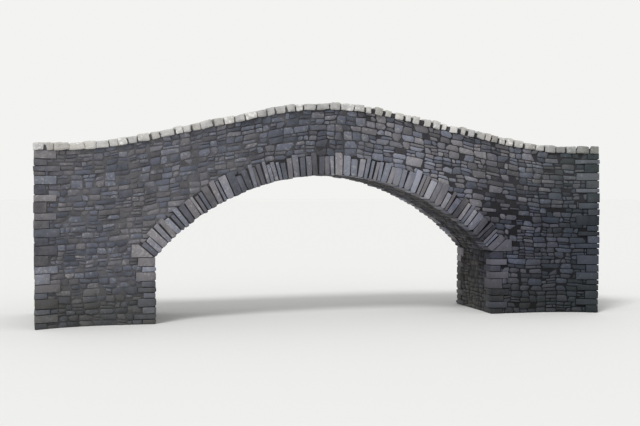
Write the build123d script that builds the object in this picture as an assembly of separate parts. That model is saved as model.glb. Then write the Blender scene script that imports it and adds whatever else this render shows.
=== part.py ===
from build123d import *
import os
from math import asin, cos, degrees, radians, sin, tan

# Packhorse bridge of rubble stone: one segmental arch between two abutments, with humped
# parapets and flared wing walls. X runs along the roadway, Y across it and Z up. The origin
# is level with the foot of the walls, under the middle of the arch, and the front face looks
# along -Y.

# Driving dimensions, in millimetres and degrees

# The arch
span = 7800  # clear width between the faces of the abutments
rise = 1800  # soffit at the crown above the springing line
springing_level = 1450  # springing line above the foot of the walls
ring_depth = 450  # radial depth of the arch stones
face_ring_width = 400  # how far the stones of each face ring reach into the vault

# Across the bridge
bridge_width = 2200  # out to out of the two faces
spandrel_thickness = 450
parapet_thickness = 350
coping_overhang = 25  # each side of the parapet

# Layers over the crown of the arch, from the ring up
bedding_depth = 70
paving_thickness = 110
parapet_height = 820  # paving to the underside of the coping
coping_thickness = 110
coping_round = 40  # worn top arrises of the coping

# Along the bridge
abutment_length = 1000  # springing face to the back of the abutment
wing_length = 1500  # wing wall beyond the abutment, measured along X
flare_radius = 3200  # plan radius of the wing wall's outer face
crest_radius = 6500  # hump of the parapet and roadway at the middle
hump_slope = 12  # slope of the straight stretches each side of the crest
sag_radius = 10000  # where that slope eases out towards the end
level_end = 200  # level stretch at each end

# Sizes that follow

half_span = span / 2
half_width = bridge_width / 2
wing_start = half_span + abutment_length
half_length = wing_start + wing_length

soffit_radius = (half_span**2 + rise**2) / (2 * rise)
extrados_radius = soffit_radius + ring_depth
arch_centre = (0, springing_level + rise - soffit_radius)
springing_angle = degrees(asin(half_span / soffit_radius))
skewback_x = extrados_radius * sin(radians(springing_angle))
skewback_top = arch_centre[1] + extrados_radius * cos(radians(springing_angle))

crown_level = springing_level + rise + ring_depth
paving_underside = parapet_height + coping_thickness + paving_thickness  # below the coping's top
paving_top = parapet_height + coping_thickness
crest_level = crown_level + bedding_depth + paving_underside

# The hump in elevation: level, sag, slope, crest, slope, sag, level
sag_run = sag_radius * sin(radians(hump_slope))
crest_run = crest_radius * sin(radians(hump_slope))
slope_run = half_length - level_end - sag_run - crest_run
slope_length = slope_run / cos(radians(hump_slope))
curved_drop = (crest_radius + sag_radius) * (1 - cos(radians(hump_slope)))
hump_drop = curved_drop + slope_run * tan(radians(hump_slope))  # crest to the level end


def hump_line(depth):
    """The humped line from end to end, a given depth below the top of the coping, on x and z."""
    end_level = crest_level - hump_drop - depth
    left_level = Line((-half_length, end_level), (level_end - half_length, end_level))
    left_sag = JernArc(left_level @ 1, (1, 0), sag_radius, hump_slope)
    climb = Line(left_sag @ 1, left_sag @ 1 + (left_sag % 1) * slope_length)
    crest = JernArc(climb @ 1, climb % 1, crest_radius, -2 * hump_slope)
    fall = Line(crest @ 1, crest @ 1 + (crest % 1) * slope_length)
    right_sag = JernArc(fall @ 1, fall % 1, sag_radius, hump_slope)
    right_level = Line(right_sag @ 1, (half_length, end_level))
    return [left_level, left_sag, climb, crest, fall, right_sag, right_level]


def layer(top_depth, bottom_depth):
    """Elevation of what lies between two depths below the top of the coping, over the whole length."""
    top, bottom = hump_line(top_depth), hump_line(bottom_depth)
    ends = [Line(bottom[0] @ 0, top[0] @ 0), Line(top[-1] @ 1, bottom[-1] @ 1)]
    return make_face([*top, *bottom, *ends])


def below_paving():
    """Elevation of everything under the paving, down to the foot of the walls."""
    top = hump_line(paving_underside)
    sides = Polyline(top[-1] @ 1, (half_length, 0), (-half_length, 0), top[0] @ 0)
    return make_face([*top, *sides.edges()])


def elevation_box(x_low, x_high, z_low, z_high):
    return Pos((x_low + x_high) / 2, (z_low + z_high) / 2) * Rectangle(x_high - x_low, z_high - z_low)


def across(elevation):
    """The elevation carried right across the bridge and past its widest point."""
    return extrude(Plane.XZ * elevation, amount=bridge_width, both=True)


def upright(plan):
    """The plan carried from the foot of the walls to above the coping."""
    return extrude(plan, amount=crest_level + coping_thickness)


# Plans. The distance from the roadway's centre line is kept through the flare, so that each
# layer of the wing lines up with the same layer of the straight bridge.

flare_centre = (wing_start, -half_width - flare_radius)


def flare_disc(distance):
    """Disc whose edge is the front wing's line at this distance from the centre line."""
    return Pos(*flare_centre) * Circle(flare_radius + half_width - distance)


def wing_box():
    return Pos(wing_start + wing_length / 2, 0) * Rectangle(wing_length, 2 * bridge_width)


def straight_plan(inner, outer):
    """Front strip of the straight bridge, between two distances from the centre line."""
    return Pos(0, -(inner + outer) / 2) * Rectangle(2 * wing_start, outer - inner)


def wing_plan(inner, outer):
    """Front strip of the right-hand wing, between two distances from the centre line."""
    return (flare_disc(inner) - flare_disc(outer)) & wing_box()


def between_wings_plan(distance):
    """Right-hand approach between its two wings, out to a distance from the centre line."""
    front = flare_disc(distance)
    return wing_box() - front - mirror(front, about=Plane.XZ)


def to_left(piece):
    return mirror(piece, about=Plane.YZ)


def to_back(piece):
    return mirror(piece, about=Plane.XZ)


pieces = {}


def four_corners(name, piece):
    """The front right piece, its mirror images beside and behind it, and its turned copy across."""
    pieces[f"front_right_{name}"] = piece
    pieces[f"front_left_{name}"] = to_left(piece)
    pieces[f"back_right_{name}"] = to_back(piece)
    pieces[f"back_left_{name}"] = Rot(Z=180) * piece


# Abutments: solid rubble, with a sloping skewback that seats the arch ring

abutment_elevation = make_face(
    Polyline(
        (half_span, 0),
        (wing_start, 0),
        (wing_start, skewback_top),
        (skewback_x, skewback_top),
        (half_span, springing_level),
        close=True,
    ).edges()
)
right_abutment = extrude(Plane.XZ * abutment_elevation, amount=half_width, both=True)
pieces["right_abutment"] = right_abutment
pieces["left_abutment"] = to_left(right_abutment)

# Arch: a ring of long stones at each face, and the rubble vault between the two rings. Each is
# in three equal lengths, the two haunches and the crown, that meet on radial joints.


def on_arch(radius, angle):
    """Point in elevation, by its distance from the arch's centre and its angle from the crown."""
    return (radius * sin(radians(angle)), arch_centre[1] + radius * cos(radians(angle)))


def arc_on_arch(radius, start, end):
    middle = (start + end) / 2
    return ThreePointArc(on_arch(radius, start), on_arch(radius, middle), on_arch(radius, end))


def arch_length(start, end):
    """Elevation of the arch between two angles from the crown."""
    soffit = arc_on_arch(soffit_radius, start, end)
    extrados = arc_on_arch(extrados_radius, end, start)
    return make_face([soffit, Line(soffit @ 1, extrados @ 0), extrados, Line(extrados @ 1, soffit @ 0)])


barrel_width = bridge_width - 2 * face_ring_width
arch_joints = [-springing_angle, -springing_angle / 3, springing_angle / 3, springing_angle]
for length, start, end in zip(("left_haunch", "crown", "right_haunch"), arch_joints, arch_joints[1:]):
    elevation = arch_length(start, end)
    front_ring = extrude(Plane.XZ.offset(barrel_width / 2) * elevation, amount=face_ring_width)
    pieces[f"{length}_barrel"] = extrude(Plane.XZ * elevation, amount=barrel_width / 2, both=True)
    pieces[f"front_{length}_ring"] = front_ring
    pieces[f"back_{length}_ring"] = to_back(front_ring)

# Spandrels: face walls that stand on the ring and the abutment, with fill between them

spandrel_elevation = (
    below_paving() & elevation_box(0, wing_start, skewback_top, crest_level)
) - Pos(*arch_centre) * Circle(extrados_radius)
spandrel_block = across(spandrel_elevation)
fill_half_width = half_width - spandrel_thickness

four_corners("spandrel", spandrel_block & upright(straight_plan(fill_half_width, half_width)))

right_spandrel_fill = spandrel_block & upright(Rectangle(2 * wing_start, 2 * fill_half_width))
pieces["right_spandrel_fill"] = right_spandrel_fill
pieces["left_spandrel_fill"] = to_left(right_spandrel_fill)

# Wing walls: they carry the faces on past the abutments and flare outwards, and hold the
# fill of the approach between them

body_block = across(below_paving())
four_corners("wing_wall", body_block & upright(wing_plan(fill_half_width, half_width)))

right_approach_fill = body_block & upright(between_wings_plan(fill_half_width))
pieces["right_approach_fill"] = right_approach_fill
pieces["left_approach_fill"] = to_left(right_approach_fill)

# Roadway: pitched paving between the parapets, bedded on the fill and the wall heads

paving_block = across(layer(paving_top, paving_underside))
road_half_width = half_width - parapet_thickness

pieces["crown_paving"] = paving_block & upright(Rectangle(2 * wing_start, 2 * road_half_width))
right_approach_paving = paving_block & upright(between_wings_plan(road_half_width))
pieces["right_approach_paving"] = right_approach_paving
pieces["left_approach_paving"] = to_left(right_approach_paving)

# Parapets: flush with the faces below, over the arch and on along the wings

parapet_block = across(layer(coping_thickness, paving_underside))
front_parapet = parapet_block & upright(straight_plan(road_half_width, half_width))
pieces["front_parapet"] = front_parapet
pieces["back_parapet"] = to_back(front_parapet)
four_corners("wing_parapet", parapet_block & upright(wing_plan(road_half_width, half_width)))

# Coping: stones laid along the parapet's head, with worn top arrises

coping_block = across(layer(0, coping_thickness))
coping_inner = road_half_width - coping_overhang
coping_outer = half_width + coping_overhang


def faces_up(face):
    normal = face.normal_at()
    return normal.Z > max(abs(normal.X), abs(normal.Y))


def runs_lengthways(edge):
    chord = edge @ 1 - edge @ 0
    return abs(chord.X) > max(abs(chord.Y), abs(chord.Z))


def worn(coping):
    """The coping with its two long top arrises rounded."""
    top_edges = [edge for face in coping.faces() if faces_up(face) for edge in face.edges()]
    return fillet([edge for edge in top_edges if runs_lengthways(edge)], coping_round)


front_coping = worn(coping_block & upright(straight_plan(coping_inner, coping_outer)))
pieces["front_coping"] = front_coping
pieces["back_coping"] = to_back(front_coping)
four_corners("wing_coping", worn(coping_block & upright(wing_plan(coping_inner, coping_outer))))

os.makedirs("parts", exist_ok=True)
for name, piece in pieces.items():
    export_step(piece, f"parts/{name}.step")
    print(name, len(piece.solids()), round(piece.volume / 1e9, 3), "m3")
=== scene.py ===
import math
import random

import bmesh
import bpy
from mathutils import Matrix, Vector, noise


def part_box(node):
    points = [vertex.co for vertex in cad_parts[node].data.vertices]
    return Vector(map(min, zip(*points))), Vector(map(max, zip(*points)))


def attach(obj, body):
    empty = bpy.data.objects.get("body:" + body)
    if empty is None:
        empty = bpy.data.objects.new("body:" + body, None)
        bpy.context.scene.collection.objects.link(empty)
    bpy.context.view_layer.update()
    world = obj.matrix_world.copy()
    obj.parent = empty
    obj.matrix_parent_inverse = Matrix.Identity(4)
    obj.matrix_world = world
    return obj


# Packhorse bridge of rubble stone. Every stone that shows is laid here on the solid bridge of the
# frame, whose own surfaces stay in view as the mortar and earth between the stones. All lengths
# are in metres. X runs along the roadway, Y across it and Z up from the foot of the walls.

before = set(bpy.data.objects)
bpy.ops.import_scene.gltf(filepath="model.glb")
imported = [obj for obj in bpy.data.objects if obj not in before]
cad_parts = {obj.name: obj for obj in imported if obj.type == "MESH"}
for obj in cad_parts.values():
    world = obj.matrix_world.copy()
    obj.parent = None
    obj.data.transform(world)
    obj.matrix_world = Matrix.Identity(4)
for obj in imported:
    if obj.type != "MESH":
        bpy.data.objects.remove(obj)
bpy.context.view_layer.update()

# The camera
# It stands at the photograph's viewing angle: low down, in front of the bridge and to the left of
# its arch, with the eye just under the level of the crown. A longer lens brings the bridge nearer.

eye = Vector((-6.03, -25.1, 3.12))
aim = Vector((0.05, 0.0, 2.35))
lens_length = 62
furthest_sight = 400

camera = bpy.data.objects.new("camera", bpy.data.cameras.new("camera"))
camera.data.lens = lens_length
camera.data.clip_end = furthest_sight
camera.location = eye
camera.rotation_euler = (aim - eye).to_track_quat("-Z", "Y").to_euler()
bpy.context.scene.collection.objects.link(camera)
bpy.context.scene.camera = camera
bpy.context.scene.view_settings.view_transform = "Standard"

# The floor and the light
# A wide plain pale floor, an even pale sky all round, and one broad soft lamp high at the front
# left, so that the joints throw short soft shadows and each colour shows about as it is written.


def paint(red, green, blue):
    """A colour as it looks on a screen, from 0 to 255, as the linear values that a shader needs. The
    numbers are those of the curve that all screens share."""
    shares = [value / 255 for value in (red, green, blue)]
    return tuple(((share + 0.055) / 1.055) ** 2.4 if share > 0.04 else share / 12.92 for share in shares)


class Nodes:
    """The nodes of the sky or of one material."""

    def __init__(self, tree):
        self.tree = tree

    def node(self, kind, settings, inputs):
        """A node of one kind: first its settings, then its sockets, as values or as links."""
        made = self.tree.nodes.new("ShaderNode" + kind)
        for setting, value in settings.items():
            setattr(made, setting, value)
        for socket, value in inputs.items():
            self.feed(made.inputs[socket], value)
        return made

    def feed(self, socket, value):
        """Give a socket a number, a colour or a link."""
        value = getattr(value, "socket", value)
        if isinstance(value, bpy.types.NodeSocket):
            self.tree.links.new(value, socket)
        elif socket.type == "RGBA":
            socket.default_value = (*value, 1)
        else:
            socket.default_value = value


floor_radius = 160
floor_sides = 96
floor_colour = paint(226, 226, 224)
floor_roughness = 0.9
floor_gloss = 0.1
sky_colour = (1, 1, 1)
sky_strength = 0.76
backdrop_colour = paint(243, 243, 241)
lamp_strength = 1.6
lamp_spread = math.radians(16)
lamp_from = Vector((-0.55, -0.62, 1.0))

floor_mesh = bmesh.new()
bmesh.ops.create_circle(floor_mesh, cap_ends=True, segments=floor_sides, radius=floor_radius)
floor = bpy.data.objects.new("floor", bpy.data.meshes.new("floor"))
floor_mesh.to_mesh(floor.data)
floor_mesh.free()
bpy.context.scene.collection.objects.link(floor)
floor_paint = bpy.data.materials.new("pale_floor")
floor_paint.use_nodes = True
floor_shader = floor_paint.node_tree.nodes["Principled BSDF"]
floor_shader.inputs["Base Color"].default_value = (*floor_colour, 1)
floor_shader.inputs["Roughness"].default_value = floor_roughness
floor_shader.inputs["Specular IOR Level"].default_value = floor_gloss
floor.data.materials.append(floor_paint)

lamp = bpy.data.objects.new("lamp", bpy.data.lights.new("lamp", "SUN"))
lamp.data.energy = lamp_strength
lamp.data.angle = lamp_spread
lamp.rotation_euler = lamp_from.to_track_quat("Z", "Y").to_euler()
bpy.context.scene.collection.objects.link(lamp)

# The sky lights the bridge, and the camera and reflections see the backdrop in its place.
sky = bpy.data.worlds.new("sky")
sky.use_nodes = True
bpy.context.scene.world = sky
sky_nodes = Nodes(sky.node_tree)
sky_light = sky.node_tree.nodes["Background"]
sky_nodes.feed(sky_light.inputs["Color"], sky_colour)
sky_nodes.feed(sky_light.inputs["Strength"], sky_strength)
backdrop = sky_nodes.node("Background", {}, {"Color": backdrop_colour})
rays = sky_nodes.node("LightPath", {}, {}).outputs
seen_rays = {0: rays["Is Camera Ray"], 1: rays["Is Glossy Ray"]}
seen = sky_nodes.node("Math", {"operation": "MAXIMUM"}, seen_rays).outputs[0]
layers = {0: seen, 1: sky_light.outputs[0], 2: backdrop.outputs[0]}
sky_shown = sky_nodes.node("MixShader", {}, layers).outputs[0]
sky_nodes.feed(sky.node_tree.nodes["World Output"].inputs["Surface"], sky_shown)

# The arch rings
# Long thin field stones set on edge, side by side round the arch, their ends in the bridge's face
# and their undersides in the vault. They are rough and uneven in width and length, and sit in lime
# mortar that has washed out of the outer joints. About every fifth joint gapes.

crown_low, crown_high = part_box("front_crown_ring")
half_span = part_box("right_abutment")[0].x
half_width = -crown_low.y
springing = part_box("front_right_haunch_ring")[0].z
ring_depth = 0.45
ring_reach = crown_high.y - crown_low.y
rise = crown_high.z - ring_depth - springing
soffit_radius = (half_span**2 + rise**2) / (2 * rise)
arch_middle = springing + rise - soffit_radius
springing_angle = math.asin(half_span / soffit_radius)

ring_stone_width = (0.085, 0.19)
ring_stone_length = (0.36, 0.52)
ring_joint = (0.008, 0.036)
ring_open_joint = (0.04, 0.07)
ring_open_share = 0.2
ring_proud = (0.034, 0.052)
ring_drop = (0.004, 0.03)
ring_skew = 0.005
ring_arris = 0.011
ring_chips = 0.17
ring_roughness = 0.008
ring_seeds = {"front": 11, "back": 12}

cut_slack = 0.0002  # corners this near a cut are taken to lie on it
spare_block = 0.06  # how far the unhewn block reaches past the stone's furthest corner
side_slope = (0.02, 0.2)  # how much a stone's sides draw in towards its face
squarer_slope = (0.0, 0.04)  # the same on a stone that goes through the wall
corner_slope = (0.0, 0.3)
largest_chip = 0.045
chip_share = (0.2, 1.0)  # how much of the largest chip a corner loses
facet_start = (-0.1, 0.35)  # from the middle of the face, as a share of its reach
facet_fall = (0.06, 0.22)
flatter_fall = (0.02, 0.07)  # the same on a stone that goes through the wall
shortest_edge = 0.004
same_place = 0.0001
fewest_faces = 5  # what has fewer has been cut away almost whole
knock_scale = 23  # knocks to a metre

faces_of_bridge = {"front": Matrix.Identity(4), "back": Matrix.Rotation(math.pi, 4, "Z")}
noise_seed = 5  # with a seed of its own the noise is the same in every run
noise.seed_set(noise_seed)


def cut(stone, place, away):
    """Split a stone along a plane, keep the side behind the plane, and close it again."""
    everything = stone.verts[:] + stone.edges[:] + stone.faces[:]
    split = bmesh.ops.bisect_plane(
        stone, geom=everything, dist=cut_slack, plane_co=place, plane_no=away, clear_outer=True
    )
    rim = [part for part in split["geom_cut"] if isinstance(part, bmesh.types.BMEdge)]
    if len(rim) > 2:
        bmesh.ops.contextual_create(stone, geom=rim)


def hew(seat, corners, margins, proud, depth, dice, limits=(), arris=0.007, through=False, chips=0.4):
    """One rough stone on a wall, as a closed solid. The seat is the wall there: along it, up it and
    out of it. The corners go round the stone's place on the wall, and each side stands back from
    its line by a margin. The limits are planes that the stone must keep behind. Chips is how much
    of the shortest side may be knocked off at a corner. A stone that goes through the wall has
    squarer sides and a flatter face, and its arrises are worn at the back too."""
    slope = squarer_slope if through else side_slope
    fall = flatter_fall if through else facet_fall
    into_seat = seat.inverted()
    turned = into_seat.to_3x3()
    outline = [into_seat @ corner for corner in corners]
    middle = sum(outline, Vector()) / len(outline)
    reach = max((corner - middle).length for corner in outline) + spare_block
    stone = bmesh.new()
    block_size = Matrix.Diagonal((2 * reach, 2 * reach, proud + depth, 1))
    block_place = Matrix.Translation((middle.x, middle.y, (proud - depth) / 2))
    bmesh.ops.create_cube(stone, size=1, matrix=block_place @ block_size)
    for start, end, margin in zip(outline, outline[1:] + outline[:1], margins):
        side = (end - start).normalized()
        outwards = Vector((side.y, -side.x, 0))
        away = outwards + Vector((0, 0, dice.uniform(*slope)))
        cut(stone, (start + end) / 2 - outwards * margin, away)
    shortest = min((end - start).length for start, end in zip(outline, outline[1:]))
    for before, corner, after in zip(outline[-1:] + outline, outline, outline[1:] + outline[:1]):
        away = ((corner - before).normalized() + (corner - after).normalized()).normalized()
        away.z = 0
        chip = min(shortest * chips, largest_chip) * dice.uniform(*chip_share)
        cut(stone, corner - away * chip, away + Vector((0, 0, dice.uniform(*corner_slope))))
    for place, away in limits:
        cut(stone, into_seat @ place, turned @ away)
    for _ in range(2):
        turn = dice.uniform(0, 2 * math.pi)
        lean = Vector((math.cos(turn), math.sin(turn), 0))
        place = middle + lean * reach * dice.uniform(*facet_start)
        away = lean * dice.uniform(*fall) + Vector((0, 0, 1))
        cut(stone, Vector((place.x, place.y, proud)), away)
    bmesh.ops.remove_doubles(stone, verts=stone.verts[:], dist=shortest_edge)
    if through:
        worn = stone.edges[:]
    else:
        worn = [edge for edge in stone.edges if all(vert.co.z > -depth / 2 for vert in edge.verts)]
    bmesh.ops.bevel(
        stone, geom=worn, offset=arris, offset_type="OFFSET", segments=2 if through else 1,
        profile=0.5, affect="EDGES", material=-1, clamp_overlap=True,
    )
    bmesh.ops.remove_doubles(stone, verts=stone.verts[:], dist=same_place)
    bmesh.ops.transform(stone, matrix=seat, verts=stone.verts)
    return stone


class Wall:
    """Stones laid one after another into one mesh, and turned to their side of the bridge. Each
    keeps two numbers of its own, tone and kind, from which its material takes its colour."""

    def __init__(self, seed, turn=Matrix.Identity(4)):
        self.dice = random.Random(seed)
        self.turn = turn
        self.stones = bmesh.new()
        self.spare = bpy.data.meshes.new("spare")
        for number in ("tone", "kind"):
            self.stones.verts.layers.float.new(number)

    def lay(self, stone, roughness=0.004):
        """Add one stone, with its corners and arrises knocked about a little and its faces outwards."""
        if len(stone.faces) < fewest_faces:
            stone.free()
            return
        bmesh.ops.transform(stone, matrix=self.turn, verts=stone.verts)
        for vert in stone.verts:
            vert.co += noise.noise_vector(vert.co * knock_scale) * roughness
        bmesh.ops.recalc_face_normals(stone, faces=stone.faces[:])
        if stone.calc_volume(signed=True) < 0:
            bmesh.ops.reverse_faces(stone, faces=stone.faces[:])
        for number in ("tone", "kind"):
            layer = stone.verts.layers.float.new(number)
            value = self.dice.random()
            for vert in stone.verts:
                vert[layer] = value
        stone.to_mesh(self.spare)
        self.stones.from_mesh(self.spare)
        stone.free()

    def finish(self, name, material, slot, crease=55):
        """Make the laid stones one piece of the bridge. Only edges sharper than the crease, in
        degrees, show as edges. The bevels give the faces in an order that may change from run to
        run, so the faces are first put in the order of their corners."""
        self.stones.verts.index_update()
        in_order = sorted(self.stones.faces, key=lambda face: [vert.index for vert in face.verts])
        for place, face in enumerate(in_order):
            face.index = place
        self.stones.faces.sort()
        piece = bpy.data.objects.new(name, bpy.data.meshes.new(name))
        self.stones.to_mesh(piece.data)
        self.stones.free()
        bpy.data.meshes.remove(self.spare)
        bpy.context.scene.collection.objects.link(piece)
        piece.data.materials.append(material)
        piece.data.shade_smooth()
        piece.data.set_sharp_from_angle(angle=math.radians(crease))
        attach(piece, "root")


class Shade:
    """A number that varies over a surface. Sums on it add Math nodes to its finish."""

    def __init__(self, finish, socket):
        self.finish = finish
        self.socket = socket

    def __add__(self, other):
        return self.finish.sum("ADD", self, other)

    __radd__ = __add__

    def __sub__(self, other):
        return self.finish.sum("SUBTRACT", self, other)

    def __rsub__(self, other):
        return self.finish.sum("SUBTRACT", other, self)

    def __mul__(self, other):
        return self.finish.sum("MULTIPLY", self, other)

    __rmul__ = __mul__

    def limited(self):
        """The number held between 0 and 1, as a mask."""
        return self.finish.sum("ADD", self, 0.0, held=True)

    def swing(self, size):
        """The number, which lies between 0 and 1, as a swing of this size about 0."""
        return (self - 0.5) * size


bump_strength = 0.8
stone_gloss = 0.25


class Finish(Nodes):
    """The nodes of one material, with its base shader."""

    def __init__(self, name):
        self.material = bpy.data.materials.new(name)
        self.material.use_nodes = True
        super().__init__(self.material.node_tree)
        self.shader = self.tree.nodes["Principled BSDF"]
        self.place = self.node("TexCoord", {}, {}).outputs["Object"]

    def sum(self, operation, first, second, held=False):
        """Two numbers joined by one Math node."""
        settings = {"operation": operation, "use_clamp": held}
        return Shade(self, self.node("Math", settings, {0: first, 1: second}).outputs[0])

    def number(self, name):
        """A number that each stone keeps for itself."""
        return Shade(self, self.node("Attribute", {"attribute_name": name}, {}).outputs["Fac"])

    def along(self, axis):
        """The place on the bridge along one axis."""
        return Shade(self, self.node("SeparateXYZ", {}, {0: self.place}).outputs[axis])

    def facing(self, axis):
        """How far the surface faces along one axis."""
        normal = self.node("NewGeometry", {}, {}).outputs["Normal"]
        return Shade(self, self.node("SeparateXYZ", {}, {0: normal}).outputs[axis])

    def cloud(self, scale, detail=3.0, apart=0.0):
        """Soft random patches, about 1 / scale metres across. Apart keeps stones from sharing them."""
        inputs = {"Vector": self.place, "W": apart, "Scale": scale, "Detail": detail}
        return Shade(self, self.node("TexNoise", {"noise_dimensions": "4D"}, inputs).outputs["Fac"])

    def runs(self, scale):
        """Soft upright streaks, about 1 / scale metres wide and eight times as tall, as rain leaves
        them on a wall."""
        drawn_out = self.node("VectorMath", {"operation": "MULTIPLY"}, {0: self.place, 1: (1, 1, 0.13)})
        inputs = {"Vector": drawn_out.outputs[0], "Scale": scale, "Detail": 3.0}
        return Shade(self, self.node("TexNoise", {}, inputs).outputs["Fac"])

    def front(self, fade=0.5):
        """1 over the front of the bridge, fading to 0 at its middle and behind it."""
        return (self.along("Y") * (-1 / fade)).limited()

    def around(self, centre, radius):
        """How near the surface is to a place: 1 there, and 0 at the radius and beyond."""
        away = self.node("VectorMath", {"operation": "DISTANCE"}, {0: self.place, 1: centre})
        return (1 - Shade(self, away.outputs["Value"]) * (1 / radius)).limited()

    def blend(self, mask, under, over, way="MIX"):
        """One colour laid over another through a mask. The Mix node keeps its colours in sockets 6
        and 7, and gives their blend as output 2."""
        settings = {"data_type": "RGBA", "blend_type": way, "clamp_factor": True}
        return self.node("Mix", settings, {0: mask, 6: under, 7: over}).outputs[2]

    def grey(self, value):
        """A number as a grey colour."""
        return self.node("CombineXYZ", {}, {0: value, 1: value, 2: value}).outputs[0]

    def dress(self, colour, roughness, bumps, bump_depth):
        """Feed the shader with what varies, and set what is the same all over."""
        self.feed(self.shader.inputs["Base Color"], colour)
        self.feed(self.shader.inputs["Roughness"], roughness)
        self.shader.inputs["Specular IOR Level"].default_value = stone_gloss
        bump_inputs = {"Strength": bump_strength, "Distance": bump_depth, "Height": bumps}
        self.feed(self.shader.inputs["Normal"], self.node("Bump", {}, bump_inputs).outputs[0])
        return self.material


mottle_scale = 7  # patches to a metre, as are the scales that follow
grain_scale = 70
zone_scale = 0.7
streak_scale = 3.2
crust_scale = 16
moss_scale = 3
wander_scale = 1.4
pit_scale = 24
rubble_bump = 0.016
# painted bluish shade over the crown of the front: middle and radius
crown_painted_shade = {"centre": (-0.9, -1.1, 4.1), "radius": 2.6}
# a paler patch over the right-hand side of the arch: middle and radius
pale_patch = {"centre": (1.7, -1.1, 3.1), "radius": 1.7}
uneven_from = -1.0
uneven_run = 4.0
moss_and_shade_from = 4.2
haunch_dark_from = 2.6
haunch_dark_below = 3.1
damp_height = 1.1
moss_colour = paint(70, 74, 44)
damp_colour = paint(48, 50, 42)
moss_and_tree_shade_colour = paint(42, 55, 54)
haunch_dark_tint = paint(160, 164, 184)


def rubble_finish(
    name, cool, warm, pale, lichen_share=0.35, moss_share=0.5, damp_top=damp_height, contrast=0.55
):
    """Weathered field stone: each stone has its own mix of a cool and a warm grey, mottled and
    streaked by rain, most uneven on the right. The front is darker and bluer at the crown, which is
    painted bluish shade, and paler over the right-hand side of the arch. There are pale crusts of
    lichen, moss on the ledges, darker and bluer stones over the right-hand haunch of the front, a
    dark green-teal at the right-hand end that is partly moss and partly painted shade of trees, and
    dark damp near the foot of the walls."""
    finish = Finish(name)
    tone = finish.number("tone")
    kind = finish.number("kind")
    mottle = finish.cloud(mottle_scale, 4, tone * 40)
    grain = finish.cloud(grain_scale, 4, kind * 9)
    zones = finish.cloud(zone_scale, 2)
    crown = finish.around(**crown_painted_shade)
    paler = finish.around(**pale_patch)
    # Painted bluish shade: at the crown the stones turn to the cool grey and darken.
    warmth = kind * 1.8 - 0.4 + mottle.swing(1.2) + zones.swing(2.5) - crown * 0.9
    rock = finish.blend(warmth.limited(), cool, warm)
    uneven = ((finish.along("X") - uneven_from) * (1 / uneven_run)).limited() * 0.5 + 0.85
    strength = tone.swing(contrast) * uneven + mottle.swing(0.6) + grain.swing(0.5) + 0.95
    strength += finish.runs(streak_scale).swing(0.75) + paler * 0.6 - crown * 0.12
    rock = finish.blend(1.0, rock, finish.grey(strength), "MULTIPLY")
    crust = finish.cloud(crust_scale, 8, kind * 30)
    crusted = ((crust - 0.6 + tone.swing(0.16)) * 14).limited() * lichen_share
    rock = finish.blend(crusted, rock, pale)
    level = ((finish.facing("Z") - 0.35) * 2).limited()
    moss = level * finish.cloud(moss_scale, 3).swing(6).limited() * moss_share
    rock = finish.blend(moss, rock, moss_colour)
    height = finish.along("Z")
    damp = ((damp_top - height + mottle.swing(0.9)) * 1.4).limited()
    rock = finish.blend(damp * 0.6, rock, damp_colour)
    wander = finish.cloud(wander_scale, 3).swing(2)
    # A dark green-teal at the right-hand end: partly moss, partly painted shade of trees.
    green = ((finish.along("X") - moss_and_shade_from + wander) * 0.6).limited()
    rock = finish.blend(green * 0.55, rock, moss_and_tree_shade_colour)
    # Darker and bluer over the right-hand haunch, on the front only.
    haunch_dark = ((finish.along("X") - haunch_dark_from + wander) * 1.3).limited() * finish.front()
    haunch_dark *= ((haunch_dark_below - height + wander) * 1.1).limited()
    rock = finish.blend(haunch_dark * 0.75, rock, haunch_dark_tint, "MULTIPLY")
    bumps = grain * 0.5 + finish.cloud(pit_scale, 5, kind * 5) + mottle
    return finish.dress(rock, 0.93 - damp * 0.3 - grain * 0.1, bumps, rubble_bump)


# The cool grey is partly the stone's own colour and partly a painted bluish cast of sky-lit shade.
ring_finish = rubble_finish(
    "ring_stone", paint(109, 111, 121), paint(117, 114, 117), paint(162, 162, 162),
    lichen_share=0.5, contrast=0.95,
)


def on_arch(angle, radius, y=0.0):
    """A point by its angle from the crown and its distance from the arch's centre."""
    return Vector((radius * math.sin(angle), y, arch_middle + radius * math.cos(angle)))


def from_arch(angle):
    """The direction away from the arch's centre, by its angle from the crown."""
    return Vector((math.sin(angle), 0, math.cos(angle)))


def seat_of(corners, up, out):
    """The wall's own frame in the middle of a stone's place: along the wall, up it and out of it."""
    seat = Matrix((up.cross(out), up, out)).transposed().to_4x4()
    seat.translation = sum(corners, Vector()) / len(corners)
    return seat


def shared_lengths(total, shortest, longest, dice):
    """Random lengths that add up to a total, as the places where one ends and the next begins."""
    lengths = []
    while sum(lengths) < total:
        lengths.append(dice.uniform(shortest, longest))
    shrink = total / sum(lengths)
    places = [0.0]
    for length in lengths:
        places.append(places[-1] + length * shrink)
    return places


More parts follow.
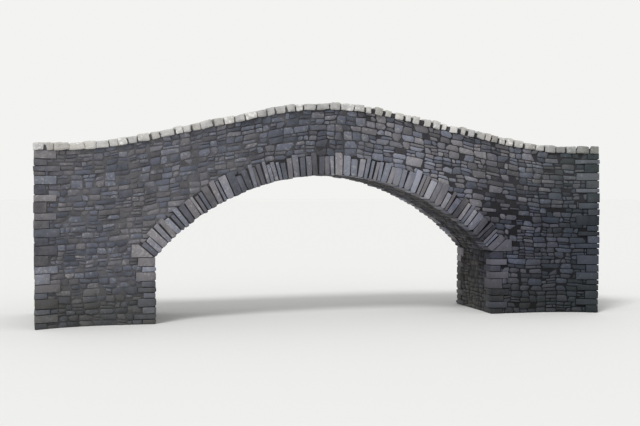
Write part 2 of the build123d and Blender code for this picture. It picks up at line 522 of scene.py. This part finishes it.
ring_ends = {}
ring_angles = {}
ring_middle_radius = soffit_radius + ring_depth / 2
for face, turn in faces_of_bridge.items():
    wall = Wall(ring_seeds[face], turn)
    places = shared_lengths(2 * springing_angle * ring_middle_radius, *ring_stone_width, wall.dice)
    ring_angles[face] = [place / ring_middle_radius - springing_angle for place in places]
    ring_ends[face] = []
    for left, right in zip(ring_angles[face], ring_angles[face][1:]):
        length = wall.dice.uniform(*ring_stone_length)
        ring_ends[face].append(soffit_radius + length)
        skew = wall.dice.uniform(-ring_skew, ring_skew)
        corners = [
            on_arch(left, soffit_radius, -half_width),
            on_arch(right, soffit_radius, -half_width),
            on_arch(right + skew, soffit_radius + length, -half_width),
            on_arch(left + skew, soffit_radius + length, -half_width),
        ]
        seat = seat_of(corners, from_arch((left + right) / 2), Vector((0, -1, 0)))
        joint = ring_open_joint if wall.dice.random() < ring_open_share else ring_joint
        right_gap = wall.dice.uniform(*joint) / 2
        left_gap = wall.dice.uniform(*ring_joint) / 2
        margins = [-wall.dice.uniform(*ring_drop), right_gap, 0.0, left_gap]
        proud = wall.dice.uniform(*ring_proud)
        stone = hew(
            seat, corners, margins, proud, ring_reach, wall.dice,
            arris=ring_arris, through=True, chips=ring_chips,
        )
        wall.lay(stone, ring_roughness)
    wall.finish(f"{face}_ring_stones", ring_finish, "arch_stone")

# The vault
# The underside of the arch between the two rings: rough stones on edge in courses that carry on
# those of the front ring, with open joints. They are darker than the faces, partly from damp and
# partly with painted shade under the arch.

vault_reach = half_width - ring_reach
vault_stone_length = (0.24, 0.52)
vault_joint = 0.02
vault_proud = (0.004, 0.024)
vault_depth = 0.06
vault_seed = 21

# Darker than the faces: damp, and painted shade under the arch.
damp_and_shaded_arch_finish = rubble_finish(
    "vault_stone", paint(75, 75, 81), paint(77, 73, 70), paint(118, 119, 115), lichen_share=0.2
)
wall = Wall(vault_seed)
for left, right in zip(ring_angles["front"], ring_angles["front"][1:]):
    ends = shared_lengths(2 * vault_reach, *vault_stone_length, wall.dice)
    for near, far in zip(ends, ends[1:]):
        corners = [
            on_arch(left, soffit_radius, near - vault_reach),
            on_arch(left, soffit_radius, far - vault_reach),
            on_arch(right, soffit_radius, far - vault_reach),
            on_arch(right, soffit_radius, near - vault_reach),
        ]
        middle = (left + right) / 2
        seat = seat_of(corners, from_arch(middle + math.pi / 2), -from_arch(middle))
        margins = [vault_joint / 2] * 4
        proud = wall.dice.uniform(*vault_proud)
        wall.lay(hew(seat, corners, margins, proud, vault_depth, wall.dice))
wall.finish("vault_stones", damp_and_shaded_arch_finish, "vault_stone")

# The corner stones of the abutments
# Larger squarish blocks at each corner under the arch, laid by turns long on the face and long
# into the opening. On top of each pile a longer block with a sloping end takes the arch's foot.

corner_height = (0.12, 0.26)
corner_long = (0.36, 0.46)
corner_short = (0.22, 0.3)
springer_length = 0.5
ground_gap = 0.009
corner_joint = 0.015
corner_proud = 0.034
corner_past_opening = (0.012, 0.034)
corner_arris = 0.012
corner_chips = 0.05
corner_roughness = 0.007
corner_seeds = {"front": 31, "back": 32}

upright = Vector((0, 0, 1))
above_ground = (Vector((0, 0, ground_gap)), Vector((0, 0, -1)))
corners_laid = {}
springer_top = arch_middle + (soffit_radius + ring_depth) * math.cos(springing_angle)
for face, turn in faces_of_bridge.items():
    wall = Wall(corner_seeds[face], turn)
    for side in (-1, 1):
        levels = shared_lengths(springing, *corner_height, wall.dice) + [springer_top]
        foot_out = from_arch(side * (springing_angle - math.pi / 2))
        foot = on_arch(side * springing_angle, soffit_radius) - foot_out * corner_joint / 2
        corners_laid[face, side] = []
        for course, (low, high) in enumerate(zip(levels, levels[1:])):
            sizes = (corner_long, corner_short) if course % 2 else (corner_short, corner_long)
            length, reach = (wall.dice.uniform(*size) for size in sizes)
            if high == springer_top:
                length, reach = springer_length, ring_reach
            block = {"low": low, "high": high, "length": length, "reach": reach}
            corners_laid[face, side].append(block)
            left, right = sorted((side * half_span, side * (half_span + length)))
            corners = [
                Vector((left, -half_width, low)),
                Vector((right, -half_width, low)),
                Vector((right, -half_width, high)),
                Vector((left, -half_width, high)),
            ]
            margins = [corner_joint / 2] * 4
            margins[3 if side > 0 else 1] = -wall.dice.uniform(*corner_past_opening)
            stone = hew(
                seat_of(corners, upright, Vector((0, -1, 0))), corners, margins, corner_proud,
                reach, wall.dice, [above_ground, (foot, foot_out)], arris=corner_arris,
                through=True, chips=corner_chips,
            )
            wall.lay(stone, corner_roughness)
    wall.finish(f"{face}_corner_stones", ring_finish, "face_rubble")


def size_beside(laid, low, high, size):
    """The length or reach of the block beside the middle of a stone between two levels. Blocks
    stand out further than rubble, so they cover the parts of it that run on behind them."""
    middle = (low + high) / 2
    return min(laid, key=lambda block: abs((block["low"] + block["high"]) / 2 - middle))[size]


# The sides of the opening
# The faces of the two abutments under the arch: random rubble of small field stones in lime mortar
# between the corner stones, darker than the faces, partly from damp and partly with painted shade.

rubble_size = (0.215, 0.093)
rubble_joint = 0.016
rubble_proud = (0.006, 0.026)
rubble_depth = 0.05
rubble_wander = 0.034
rubble_wander_scale = 3.4
wander_along = 1.6  # joints wander this many times further along the wall than up it
whole_place = (0.95, 2.3)  # a place up to this many stones long stays whole
split_share = (0.36, 0.64)
course_height = (2, 3.6)  # from one level bed to the next, in stones
patch_length = (2.4, 4.6)  # of a course, in stones
patch_start = (0, 3)  # how far before the wall's end the first patch starts, in stones
springer_gap = 0.008
opening_seeds = {"right": 41, "left": 39}
opening_wander = 4.5  # another number here gives other wandering joints


def share_out(low, high, size, dice):
    """Divide a patch of wall at random into places for stones, each as its two far corners."""
    parts = [(high[axis] - low[axis]) / size[axis] for axis in (0, 1)]
    if max(parts) < dice.uniform(*whole_place):
        return [(low, high)]
    axis = 0 if parts[0] > parts[1] else 1
    split = low[axis] + (high[axis] - low[axis]) * dice.uniform(*split_share)
    low_side = tuple(split if place == axis else high[place] for place in (0, 1))
    high_side = tuple(split if place == axis else low[place] for place in (0, 1))
    return share_out(low, low_side, size, dice) + share_out(high_side, high, size, dice)


def rough_courses(low, high, size, dice):
    """Places for random rubble that comes to a level bed every few stones."""
    places = []
    heights = [size[1] * stones for stones in course_height]
    beds = shared_lengths(high[1] - low[1], *heights, dice)
    for bed, top in zip(beds, beds[1:]):
        side = low[0] - size[0] * dice.uniform(*patch_start)
        while side < high[0]:
            end = side + size[0] * dice.uniform(*patch_length)
            if end > low[0]:
                patch_low = (max(side, low[0]), low[1] + bed)
                patch_high = (min(end, high[0]), low[1] + top)
                places += share_out(patch_low, patch_high, size, dice)
            side = end
    return places


def wandered(place, seed):
    """A place on a wall moved a little, together with its neighbours, so that no joint is straight."""
    moved = noise.noise_vector(Vector((*place, seed)) * rubble_wander_scale) * rubble_wander
    return place[0] + moved.x * wander_along, place[1] + moved.y


def places_around(low, high, seed):
    """The four corners of a stone's place, in turn."""
    round_it = (low, (high[0], low[1]), high, (low[0], high[1]))
    return [wandered(place, seed) for place in round_it]


def lay_rubble(wall, corners, out, limits, joint=rubble_joint, proud=rubble_proud):
    """Hew a field stone for its place on an upright wall, and lay it there."""
    stands_out = wall.dice.uniform(*proud)
    seat = seat_of(corners, upright, out)
    wall.lay(hew(seat, corners, [joint / 2] * 4, stands_out, rubble_depth, wall.dice, limits))


for side, name in ((1, "right"), (-1, "left")):
    wall = Wall(opening_seeds[name])
    nearest = corners_laid["front", side]
    furthest = corners_laid["back", -side]
    for low, high in rough_courses((-half_width, 0.0), (half_width, springing), rubble_size, wall.dice):
        around = places_around(low, high, opening_wander)
        corners = [Vector((side * half_span, -side * along, up)) for along, up in around]
        near_end = size_beside(nearest, low[1], high[1], "reach") + corner_joint / 2 - half_width
        far_end = half_width - size_beside(furthest, low[1], high[1], "reach") - corner_joint / 2
        limits = [
            above_ground,
            (Vector((0, 0, springing - springer_gap)), upright),
            (Vector((0, near_end, 0)), Vector((0, -1, 0))),
            (Vector((0, far_end, 0)), Vector((0, 1, 0))),
        ]
        lay_rubble(wall, corners, Vector((-side, 0, 0)), limits)
    # The finish is darker from damp and from painted shade under the arch.
    wall.finish(f"{name}_opening_stones", damp_and_shaded_arch_finish, "face_rubble")

# The end stones of the wing walls
# Blocks right through the wall's thickness, long and short by turns, that close each wing wall and
# its parapet at the end of the bridge.

wing_low, wing_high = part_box("front_right_wing_wall")
wing_start = wing_low.x
half_length = wing_high.x
wing_run = half_length - wing_start
flare = -wing_low.y - half_width
flare_radius = (wing_run**2 + flare**2) / (2 * flare)
face_end = wing_start + flare_radius * math.asin(wing_run / flare_radius)
parapet_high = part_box("front_parapet")[1]
parapet_height = parapet_high.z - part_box("crown_paving")[1].z
parapet_thickness = half_width + parapet_high.y
wall_thickness = half_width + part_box("front_right_spandrel")[1].y
paving_nodes = ("left_approach_paving", "crown_paving", "right_approach_paving")
paving_depth = 0.11

end_height = (0.1, 0.24)
end_long = (0.42, 0.58)
end_short = (0.22, 0.34)
end_proud = 0.034
end_chips = 0.06
end_spare = 0.06  # a block's place runs this far past the end, where the block is cut
past_end = (0.01, 0.034)
same_level = 0.01
end_seeds = {"front": 51, "back": 52}

road_edge = 0.001  # the height of the paving is looked up this far within its edge
over_bridge = 9


def road_level(x):
    """The height of the paving at a place along the bridge, found on the frame from above."""
    x = max(road_edge - half_length, min(half_length - road_edge, x))
    node = paving_nodes[0 if x < -wing_start else 2 if x > wing_start else 1]
    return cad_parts[node].ray_cast(Vector((x, 0, over_bridge)), Vector((0, 0, -1)))[1].z


def road_slope(x):
    """Up and to the right, along the roadway."""
    step = 0.05
    return Vector((2 * step, 0, road_level(x + step) - road_level(x - step))).normalized()


def beside_road(distance, offset):
    """Place in plan on a line that keeps its offset from the road's middle, by the distance along
    the bridge's face from its middle, and the direction from there towards the front."""
    past = max(0.0, abs(distance) - wing_start) / flare_radius
    radius = flare_radius + half_width - offset
    side = math.copysign(1.0, distance)
    x = side * (min(abs(distance), wing_start) + radius * math.sin(past))
    y = -offset - radius * (1 - math.cos(past))
    return Vector((x, y, 0)), Vector((-side * math.sin(past), -math.cos(past), 0))


def on_face(distance, share):
    """A point on the front face, by the distance along it and its share of the wall's height."""
    place, _ = beside_road(distance, half_width)
    place.z = share * (road_level(place.x) + parapet_height)
    return place


end_floor = road_level(half_length) - paving_depth
ends_laid = {}
for face, turn in faces_of_bridge.items():
    wall = Wall(end_seeds[face], turn)
    for side in (-1, 1):
        levels = shared_lengths(end_floor, *end_height, wall.dice)
        above = shared_lengths(parapet_height + paving_depth, *end_height, wall.dice)
        levels += [end_floor + level for level in above[1:]]
        ends_laid[face, side] = []
        for course, (low, high) in enumerate(zip(levels, levels[1:])):
            lengths = end_long if course % 2 else end_short
            length = wall.dice.uniform(*lengths)
            ends_laid[face, side].append({"low": low, "high": high, "length": length})
            across = sorted((side * (face_end - length), side * (face_end + end_spare)))
            start, end = (beside_road(distance, half_width)[0] for distance in across)
            corners = [start, end, end.copy(), start.copy()]
            for corner, level in zip(corners, (low, low, high, high)):
                corner.z = level
            out = beside_road(side * (face_end - length / 2), half_width)[1]
            in_parapet = high > end_floor + same_level
            depth = parapet_thickness + end_proud if in_parapet else wall_thickness
            cut_off = side * (half_length + wall.dice.uniform(*past_end))
            limits = [above_ground, (Vector((cut_off, 0, 0)), Vector((side, 0, 0)))]
            stone = hew(
                seat_of(corners, upright, out), corners, [corner_joint / 2] * 4, end_proud, depth,
                wall.dice, limits, arris=corner_arris, through=True, chips=end_chips,
            )
            wall.lay(stone, corner_roughness)
    wall.finish(f"{face}_end_stones", ring_finish, "face_rubble")

# The faces of the bridge
# Random rubble of thin flattish stones. Their beds are level at the foot and rise with the hump
# towards the coping, and wall, spandrel and parapet make one face round the arch. Here and there a
# small stone has fallen out, most of all over the right-hand haunch of the front.

thinnest = 0.05  # the least room for a stone over the ring
narrowest = 0.04  # the least room for a stone beside the corner stones
lost_area = 0.028  # a stone whose place is larger doesn't fall out
lost_share = 0.04
haunch_lost_share = 0.38
haunch_low = Vector((2.7, -half_width, 1.7))
haunch_high = Vector((4.7, -half_width, 3.0))
head_gap = 0.006  # from the top of the rubble to the head of the wall
face_seeds = {"front": 61, "back": 62}
face_wander = {"front": 7.5, "back": 8.5}

# The cool grey is partly the stone's own colour and partly a painted bluish cast of sky-lit shade.
face_finish = rubble_finish(
    "face_stone", paint(95, 98, 109), paint(103, 101, 105), paint(152, 151, 150),
    lichen_share=0.4, contrast=0.7,
)


def clear_of_arch(corners, face):
    """Planes that keep a face stone off the arch ring and the corner stones under it, or None where
    the stone has no room left."""
    low = min(corner.z for corner in corners)
    high = max(corner.z for corner in corners)
    side = math.copysign(1, corners[0].x + corners[1].x)
    planes = []
    if (low + high) / 2 < springer_top:
        edge = size_beside(corners_laid[face, side], low, high, "length")
        edge += half_span + rubble_joint / 2
        if max(abs(corner.x) for corner in corners) < edge + narrowest:
            return None
        planes.append((Vector((side * edge, 0, 0)), Vector((-side, 0, 0))))
    centre = Vector((0, 0, arch_middle))
    rays = [Vector((corner.x, 0, corner.z)) - centre for corner in corners]
    angles = [math.atan2(ray.x, ray.z) for ray in rays]
    reached = [
        end
        for end, left, right in zip(ring_ends[face], ring_angles[face], ring_angles[face][1:])
        if left < max(angles) and right > min(angles)
    ]
    if reached:
        reach = min(reached) + rubble_joint / 2
        outside = [ray for ray in rays if ray.length > reach]
        if max(ray.length for ray in rays) < sum(reached) / len(reached) + thinnest:
            return None
        away = -sum(outside, Vector()).normalized()
        planes.append((centre - away * reach, away))
    return planes


def end_plane(side, distance, offset):
    """A plane square across a wall, at a distance along the face, with the wall's end beyond it."""
    place, out = beside_road(side * distance, offset)
    return place, Vector((-side * out.y, side * out.x, 0))


for face, turn in faces_of_bridge.items():
    wall = Wall(face_seeds[face], turn)
    end_top = road_level(half_length) + parapet_height
    for low, high in rough_courses((-face_end, 0.0), (face_end, end_top), rubble_size, wall.dice):
        around = places_around(low, high, face_wander[face])
        corners = [on_face(along, up / end_top) for along, up in around]
        planes = clear_of_arch(corners, face)
        if planes is None:
            continue
        beside_haunch = haunch_low.x < low[0] < haunch_high.x
        in_haunch = beside_haunch and haunch_low.z < corners[0].z < haunch_high.z
        share = haunch_lost_share if in_haunch and face == "front" else lost_share
        if (high[0] - low[0]) * (high[1] - low[1]) < lost_area and wall.dice.random() < share:
            continue
        distance = (low[0] + high[0]) / 2
        side = math.copysign(1, distance)
        place, out = beside_road(distance, half_width)
        slope = road_slope(place.x)
        place.z = road_level(place.x) + parapet_height - head_gap
        length = size_beside(ends_laid[face, side], low[1], high[1], "length") + rubble_joint / 2
        planes += [
            above_ground,
            (place, Vector((-slope.z, 0, slope.x))),
            end_plane(side, face_end - length, half_width),
        ]
        lay_rubble(wall, corners, out, planes)
    wall.finish(f"{face}_face_stones", face_finish, "face_rubble")

# The insides of the parapets
# The same rubble on the roadway's side, from the paving up to the coping, in courses that rise and
# fall with the road.

inner_offset = half_width - parapet_thickness
end_road = road_level(half_length)
inner_seeds = {"front": 71, "back": 72}
inner_wander = {"front": 9.5, "back": 10.5}

for face, turn in faces_of_bridge.items():
    wall = Wall(inner_seeds[face], turn)
    for low, high in rough_courses((-face_end, 0.0), (face_end, parapet_height), rubble_size, wall.dice):
        corners = []
        for along, up in places_around(low, high, inner_wander[face]):
            corner, _ = beside_road(-along, inner_offset)
            corner.z = road_level(corner.x) + up
            corners.append(corner)
        distance = -(low[0] + high[0]) / 2
        side = math.copysign(1, distance)
        place, towards_front = beside_road(distance, inner_offset)
        slope = road_slope(place.x)
        road = Vector((place.x, place.y, road_level(place.x)))
        head = road + Vector((0, 0, parapet_height - head_gap))
        length = size_beside(ends_laid[face, side], end_road + low[1], end_road + high[1], "length")
        planes = [
            (road, Vector((slope.z, 0, -slope.x))),
            (head, Vector((-slope.z, 0, slope.x))),
            end_plane(side, face_end - length - rubble_joint / 2, inner_offset),
        ]
        lay_rubble(wall, corners, -towards_front, planes)
    wall.finish(f"{face}_parapet_inner_stones", face_finish, "face_rubble")

# The ends of the fill
# Rough stones packed with earth under the roadway, between the walls. They are bare at both ends of
# the bridge, and hidden everywhere else.

fill_size = (0.3, 0.17)
fill_joint = 0.045
fill_proud = (0.012, 0.045)
fill_seeds = {"right": 81, "left": 79}
fill_wander = 11.5

fill_finish = rubble_finish(
    "fill_stone", paint(100, 99, 100), paint(104, 98, 92), paint(140, 137, 131), lichen_share=0.1
)


def width_at(x, offset):
    """How far from the road's middle a line with this offset lies, at a place along the bridge."""
    run = max(0.0, abs(x) - wing_start)
    return flare_radius + half_width - math.sqrt((flare_radius + half_width - offset) ** 2 - run**2)


fill_reach = width_at(half_length, half_width - wall_thickness)
fill_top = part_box("right_approach_paving")[0].z
for side, name in ((1, "right"), (-1, "left")):
    wall = Wall(fill_seeds[name])
    for low, high in rough_courses((-fill_reach, 0.0), (fill_reach, fill_top), fill_size, wall.dice):
        around = places_around(low, high, fill_wander)
        corners = [Vector((side * half_length, side * along, up)) for along, up in around]
        limits = [
            above_ground,
            (Vector((0, 0, fill_top)), upright),
            (Vector((0, fill_reach, 0)), Vector((0, 1, 0))),
            (Vector((0, -fill_reach, 0)), Vector((0, -1, 0))),
        ]
        lay_rubble(wall, corners, Vector((side, 0, 0)), limits, fill_joint, fill_proud)
    wall.finish(f"{name}_fill_stones", fill_finish, "core_fill")

# The roadway
# Narrow field stones set on edge across the bridge between the parapets and worn by long use, with
# earth and moss in the joints.

paving_length = (0.16, 0.34)
paving_width = (0.08, 0.13)
paving_joint = 0.02
paving_proud = (0.002, 0.02)
paving_reach = 0.015
paving_seed = 91
course_wander = 0.02
course_wander_scale = 2.6

paving_finish = rubble_finish(
    "paving_stone", paint(120, 116, 115), paint(122, 112, 103), paint(156, 153, 147), lichen_share=0.25
)
wall = Wall(paving_seed)
paving_end = half_length + paving_reach
limits = [(Vector((side * paving_end, 0, 0)), Vector((side, 0, 0))) for side in (-1, 1)]
courses = shared_lengths(2 * half_length, *paving_width, wall.dice)
for near, far in zip(courses, courses[1:]):
    low, high = near - half_length, far - half_length
    margins = [paving_joint / 2] * 4
    depth = rubble_depth
    if near == courses[0] or far == courses[-1]:
        margins[3 if near == courses[0] else 1] = -paving_reach
        depth = paving_depth
    reach = width_at(low, inner_offset)
    slope = road_slope((low + high) / 2)
    out = Vector((-slope.z, 0, slope.x))
    ends = shared_lengths(2 * reach, *paving_length, wall.dice)
    for right, left in zip(ends, ends[1:]):
        corners = [
            Vector((low, right - reach, road_level(low))),
            Vector((high, right - reach, road_level(high))),
            Vector((high, left - reach, road_level(high))),
            Vector((low, left - reach, road_level(low))),
        ]
        for corner in corners:
            corner.x += noise.noise(corner * course_wander_scale) * course_wander
        seat = seat_of(corners, Vector((0, 1, 0)), out)
        proud = wall.dice.uniform(*paving_proud)
        wall.lay(hew(seat, corners, margins, proud, depth, wall.dice, limits))
wall.finish("paving_stones", paving_finish, "pitched_paving")

# The coping
# Rough flat field stones laid side by side across the head of each parapet in a bed of mortar.
# They differ in length and height, are worn round, and are crusted with pale lichen, and are
# painted paler still with sunlight. On the right of the front's crest they have worked loose, and
# the bed shows between them.

coping_length = (0.16, 0.34)
coping_width = (0.45, 0.52)
coping_height = (0.14, 0.175)
coping_joint = (-0.005, 0.035)
loose_gap = (0.22, 0.4)  # the gap beside a loose stone, as a share of its place
loose_from = 0.9
loose_to = 3.4
coping_bed = 0.008
coping_lean = 0.06
coping_past_end = 0.03
coping_spare = 0.12  # the row runs on this far, and its last stone is cut
coping_steps = 5
coping_taper = 0.16
coping_smoothing = 0.5
coping_bulge = 0.014
coping_bulge_scale = 5.5
coping_pitting = 0.009
coping_pitting_scale = 17
coping_seeds = {"front": 101, "back": 102}
coping_offset = half_width - parapet_thickness / 2
coping_turn = math.asin(wing_run / (flare_radius + parapet_thickness / 2))
coping_end = wing_start + flare_radius * coping_turn + coping_spare

# Far paler than the walls: pale lichen, and painted sunlight on the stones.
lichen_and_sunlit_coping_finish = rubble_finish(
    "coping_stone", paint(198, 197, 195), paint(190, 187, 182), paint(230, 230, 228),
    lichen_share=0.9, moss_share=0.2, damp_top=0, contrast=0.3,
)


def boulder(seat, size, dice):
    """A worn stone that fills a box of a size about its middle: a cube with fine faces, smoothed
    and then pushed about, first broadly and then finely."""
    stone = bmesh.new()
    bmesh.ops.create_cube(stone, size=1)
    bmesh.ops.subdivide_edges(stone, edges=stone.edges[:], cuts=coping_steps, use_grid_fill=True)
    taper = [dice.uniform(-coping_taper, coping_taper) for _ in range(4)]
    for vert in stone.verts:
        across, up = vert.co.y, vert.co.z
        vert.co.y *= 1 + taper[0] * vert.co.x
        vert.co.z *= 1 + taper[1] * across
        vert.co.x *= 1 + taper[2] * across + taper[3] * up
    bmesh.ops.transform(stone, matrix=Matrix.Diagonal((*size, 1)), verts=stone.verts)
    for _ in range(2):
        bmesh.ops.smooth_vert(
            stone, verts=stone.verts[:], factor=coping_smoothing,
            use_axis_x=True, use_axis_y=True, use_axis_z=True,
        )
    stone.normal_update()
    bmesh.ops.transform(stone, matrix=seat, verts=stone.verts)
    for vert in stone.verts:
        vert.co += noise.noise_vector(vert.co * coping_bulge_scale) * coping_bulge
        vert.co += noise.noise_vector(vert.co * coping_pitting_scale) * coping_pitting
    return stone


for face, turn in faces_of_bridge.items():
    wall = Wall(coping_seeds[face], turn)
    places = shared_lengths(2 * coping_end, *coping_length, wall.dice)
    for start, end in zip(places, places[1:]):
        place, towards_front = beside_road((start + end) / 2 - coping_end, coping_offset)
        if face == "front" and loose_from < place.x < loose_to:
            gap = (end - start) * wall.dice.uniform(*loose_gap)
        else:
            gap = wall.dice.uniform(*coping_joint)
        width = wall.dice.uniform(*coping_width)
        height = wall.dice.uniform(*coping_height)
        slope = road_slope(place.x)
        along = Vector((-towards_front.y * slope.x, towards_front.x * slope.x, slope.z)).normalized()
        seat = Matrix((along, -towards_front, along.cross(-towards_front))).transposed().to_4x4()
        place.z = road_level(place.x) + parapet_height + height / 2 - coping_bed
        seat.translation = place
        lean = Matrix.Rotation(wall.dice.uniform(-coping_lean, coping_lean), 4, "Z")
        roll = Matrix.Rotation(wall.dice.uniform(-coping_lean, coping_lean), 4, "Y")
        stone = boulder(seat @ lean @ roll, (end - start - gap, width, height), wall.dice)
        side = math.copysign(1, place.x)
        cut(stone, Vector((side * (half_length + coping_past_end), 0, 0)), Vector((side, 0, 0)))
        wall.lay(stone)
    wall.finish(f"{face}_coping_stones", lichen_and_sunlit_coping_finish, "coping_stone", crease=38)

# The mortar and the earth
# What shows of the solid bridge between its stones: lime mortar, darker and bluer over the
# right-hand haunch of the front and darker still in the arch, earth between the stones of the
# roadway and of the fill, and moss on whatever faces the sky.

mortar_patch_scale = 2.2
sand_scale = 60
mortar_moss_scale = 4
mortar_bump = 0.012
mortar_dark_from = 2.5
wet_colour = paint(40, 41, 36)
mortar_dark_tint = paint(122, 122, 134)
low_moss_colour = paint(68, 73, 45)


def bedding_finish(name, dark, light, moss_share):
    """Mortar or earth: two mottled colours, grainy, darker to the right and near the foot of the
    walls, and darker and bluer still over the right-hand haunch of the front, with moss on level
    places."""
    finish = Finish(name)
    patches = finish.cloud(mortar_patch_scale, 4)
    grain = finish.cloud(sand_scale, 5)
    lightness = (patches - 0.4) * 3 + grain.swing(3.5) - finish.along("X") * 0.15
    bedding = finish.blend(lightness.limited(), dark, light)
    height = finish.along("Z")
    damp = ((damp_height - height + patches.swing(0.9)) * 1.4).limited()
    bedding = finish.blend(damp * 0.5, bedding, wet_colour)
    wander = patches.swing(2)
    # Darker and bluer over the right-hand haunch, on the front only.
    darker_haunch = ((finish.along("X") - mortar_dark_from + wander) * 1.3).limited() * finish.front()
    darker_haunch *= ((haunch_dark_below - height + wander) * 1.1).limited()
    bedding = finish.blend(darker_haunch * 0.85, bedding, mortar_dark_tint, "MULTIPLY")
    level = ((finish.facing("Z") - 0.5) * 3).limited()
    moss = level * ((finish.cloud(mortar_moss_scale, 4) - 0.45) * 8).limited() * moss_share
    bedding = finish.blend(moss, bedding, low_moss_colour)
    return finish.dress(bedding, 0.96 - grain * 0.06, grain * 1.5 + patches, mortar_bump)


mortar = bedding_finish("mortar", paint(50, 50, 54), paint(94, 93, 96), moss_share=0.7)
arch_mortar = bedding_finish("arch_mortar", paint(36, 35, 38), paint(64, 62, 64), moss_share=0.3)
earth = bedding_finish("earth", paint(56, 53, 48), paint(82, 77, 70), moss_share=0.6)
beddings = {"fill": earth, "paving": earth, "ring": arch_mortar, "barrel": arch_mortar}
for name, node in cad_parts.items():
    bedding = next((material for part, material in beddings.items() if part in name), mortar)
    for slot in node.material_slots:
        slot.material = bedding
